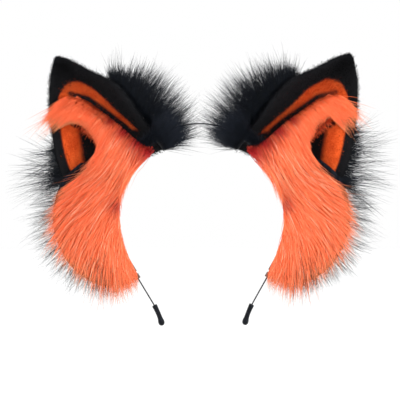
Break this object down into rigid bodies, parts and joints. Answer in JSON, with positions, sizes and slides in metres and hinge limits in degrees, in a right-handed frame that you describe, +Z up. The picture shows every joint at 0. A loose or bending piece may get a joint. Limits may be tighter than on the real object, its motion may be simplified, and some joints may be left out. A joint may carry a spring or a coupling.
{
  "type": "animal ears headband",
  "caption": "Spring headband with two cupped plush fox-style ears, long black ruffs, and long orange and black fur down each side.",
  "frame": {"origin": "middle of the crown's underside, where the band rests on the head", "axes": "+Z up when worn, -Y to the front, +X to the right as seen from the front"},
  "size_m": [0.2847, 0.0752, 0.2176],
  "materials": {
    "band_enamel": "glossy black enamel on spring steel",
    "cap_rubber": "smooth moulded rubber, slightly shiny",
    "black_plush": "short-pile plush, matt",
    "black_fur": "long straight pile with a cool sheen",
    "orange_plush": "short-pile plush with airbrushed black edges",
    "orange_fur": "long straight pile, paler at the tips and red at the roots",
    "foam": "stiffening foam with a stitched edge",
    "felt": "dense black felt",
    "knit_backing": "knitted backing cloth of the fur",
    "glue": "hot-melt glue, cloudy",
    "thread": "wound sewing thread"
  },
  "bodies": {
    "crown": {"crown_band": "band_enamel"},
    "left_arm": {"left_band_arm": "band_enamel", "left_tip_cap": "cap_rubber", "left_upper_wrap": "thread", "left_lower_wrap": "thread", "left_strip_front_backing": "knit_backing", "left_strip_front_pile": "orange_fur", "left_strip_rear_backing": "knit_backing", "left_strip_rear_pile": "black_fur", "left_glue_bead": "glue"},
    "left_ear": {"left_seat_sleeve": "felt", "left_seat_felt": "felt", "left_ear_lining": "orange_plush", "left_ear_core": "foam", "left_ear_cover": "black_plush", "left_ruff_backing": "knit_backing", "left_ruff_pile": "black_fur", "left_tuft_backing": "knit_backing", "left_tuft_pile": "orange_fur"},
    "right_arm": {"right_band_arm": "band_enamel", "right_tip_cap": "cap_rubber", "right_upper_wrap": "thread", "right_lower_wrap": "thread", "right_strip_front_backing": "knit_backing", "right_strip_front_pile": "orange_fur", "right_strip_rear_backing": "knit_backing", "right_strip_rear_pile": "black_fur", "right_glue_bead": "glue"},
    "right_ear": {"right_seat_sleeve": "felt", "right_seat_felt": "felt", "right_ear_lining": "orange_plush", "right_ear_core": "foam", "right_ear_cover": "black_plush", "right_ruff_backing": "knit_backing", "right_ruff_pile": "black_fur", "right_tuft_backing": "knit_backing", "right_tuft_pile": "orange_fur"}
  },
  "joints": [
    {"name": "left_arm_flex", "type": "hinge", "parent": "crown", "child": "left_arm", "pos_m": [-0.01968, 0, -0.00258], "axis": [0, 1, 0], "range_deg": [-3, 14], "stiffness_Nm_per_rad": 0.9},
    {"name": "left_ear_lean", "type": "hinge", "parent": "left_arm", "child": "left_ear", "pos_m": [-0.0467, 0, -0.01916], "axis": [0.7074, 0, 0.7068], "range_deg": [-12, 12]},
    {"name": "right_arm_flex", "type": "hinge", "parent": "crown", "child": "right_arm", "pos_m": [0.01968, 0, -0.00258], "axis": [0, -1, 0], "range_deg": [-3, 14], "stiffness_Nm_per_rad": 0.9},
    {"name": "right_ear_lean", "type": "hinge", "parent": "right_arm", "child": "right_ear", "pos_m": [0.04726, 0, -0.01821], "axis": [0.7316, 0, -0.6817], "range_deg": [-12, 12]}
  ]
}
